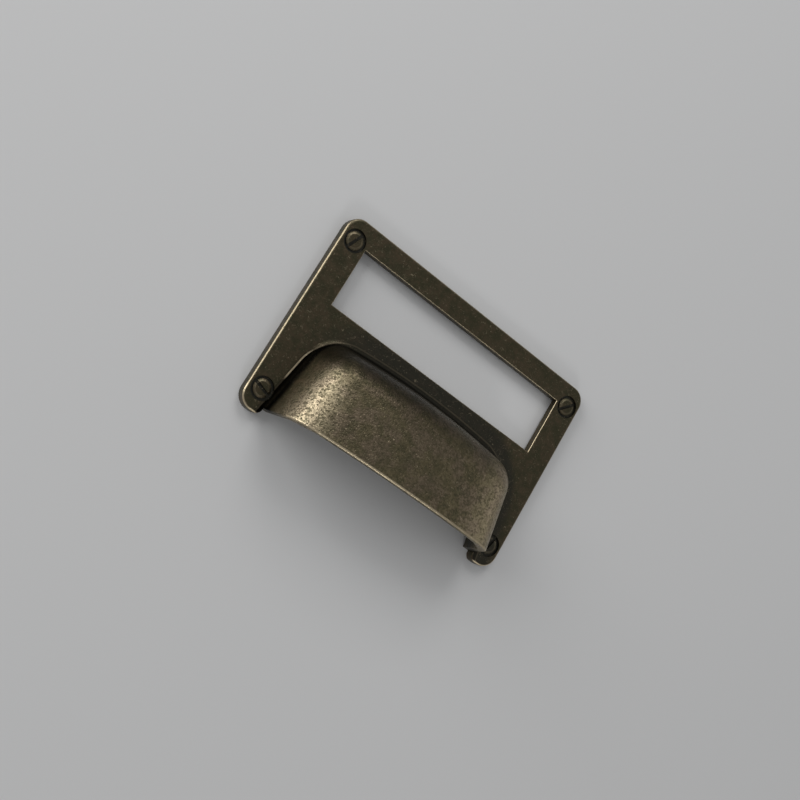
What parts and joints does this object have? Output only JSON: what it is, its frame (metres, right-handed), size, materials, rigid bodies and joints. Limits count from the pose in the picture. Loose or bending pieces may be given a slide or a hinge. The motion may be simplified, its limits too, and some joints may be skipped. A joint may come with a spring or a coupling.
{
  "type": "label frame pull",
  "caption": "Cast drawer pull with a card window in its plate above a hooded finger cup, antique bronze finish, fixed from behind by tapped posts.",
  "frame": {"origin": "centre of the plate's back face, which lies on the drawer front", "axes": "+X along the plate, +Y from the cup's mouth towards the card window, +Z out of the drawer front"},
  "size_m": [0.082, 0.054, 0.0199],
  "materials": {
    "antique_bronze": "dark brown patina over plated zinc, rubbed bright along edges and on the hood"
  },
  "bodies": {
    "root": {"label_frame_pull": "antique_bronze"}
  },
  "joints": []
}
